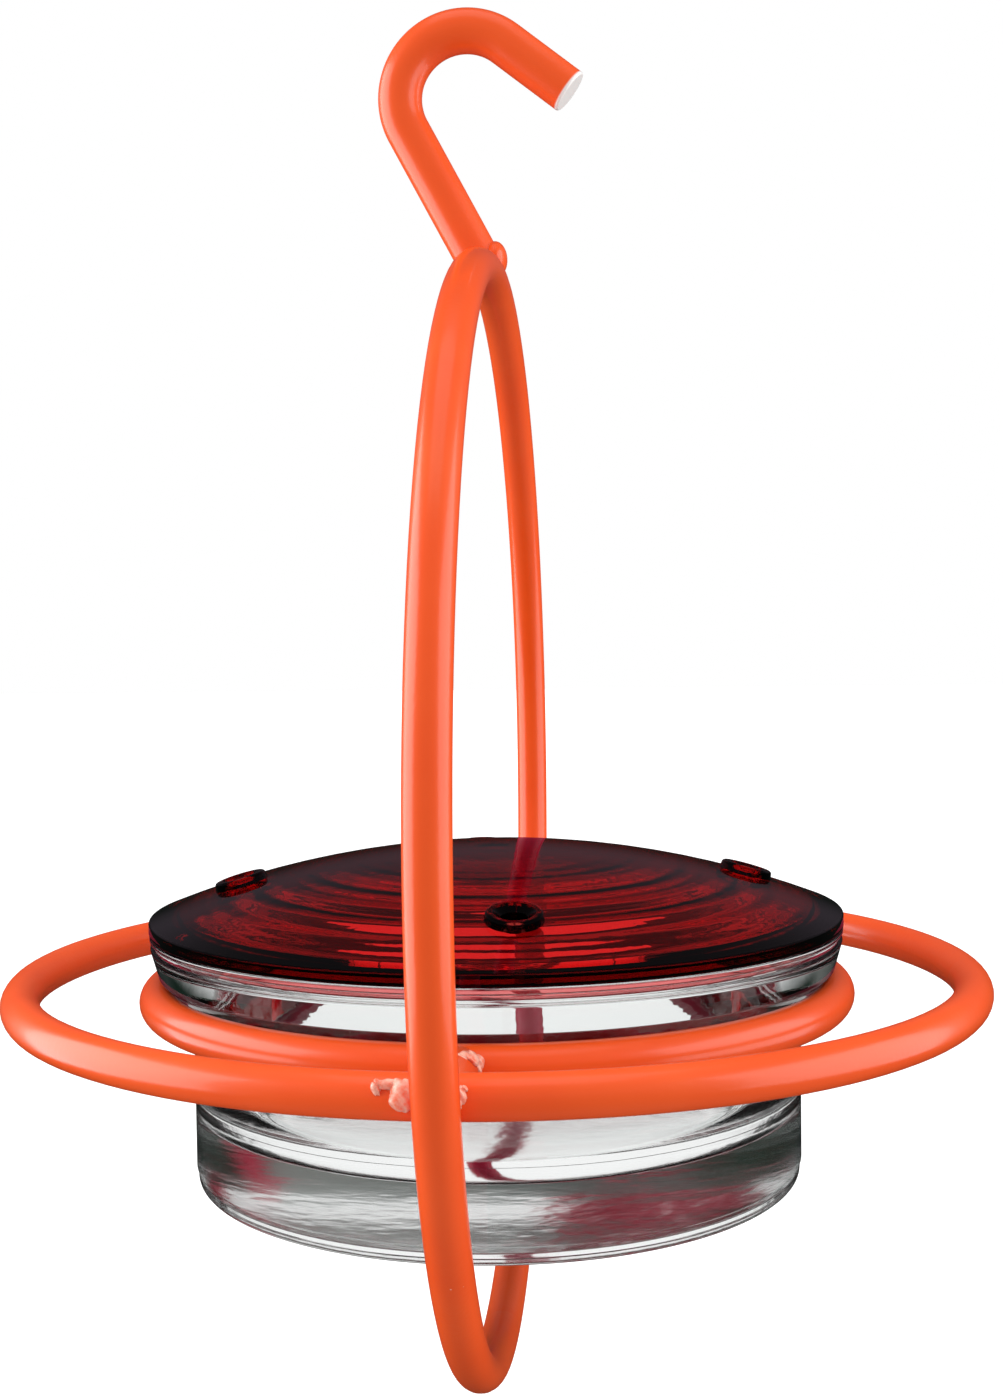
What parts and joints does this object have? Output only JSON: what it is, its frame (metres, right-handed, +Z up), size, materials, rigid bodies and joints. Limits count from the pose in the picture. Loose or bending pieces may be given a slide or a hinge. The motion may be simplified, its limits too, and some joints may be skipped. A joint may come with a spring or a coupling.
{
  "type": "hummingbird feeder",
  "caption": "Hanging nectar feeder: a clear pressed-glass dish with a domed red glass lid and feeding ports, held in an orange welded rod frame with hoop, perch ring and hook.",
  "frame": {"origin": "highest point of the inside of the hook's bend, where the feeder hangs", "axes": "+Z up; the hoop stands in the YZ plane; the hook lies in the XZ plane with its tip towards +X"},
  "size_m": [0.1664, 0.1886, 0.2306],
  "materials": {
    "orange_paint": "glossy powder coat over steel rod",
    "clear_glass": "clear pressed glass",
    "red_glass": "deep red pressed glass"
  },
  "bodies": {
    "root": {"hoop": "orange_paint", "hook": "orange_paint", "perch_ring": "orange_paint", "dish_ring": "orange_paint", "hook_weld": "orange_paint", "spoke_front": "orange_paint", "spoke_back": "orange_paint", "hoop_weld_front": "orange_paint", "hoop_weld_back": "orange_paint", "perch_weld_front": "orange_paint", "perch_weld_back": "orange_paint", "ring_weld_front": "orange_paint", "ring_weld_back": "orange_paint", "dish": "clear_glass", "lid": "red_glass"}
  },
  "joints": []
}
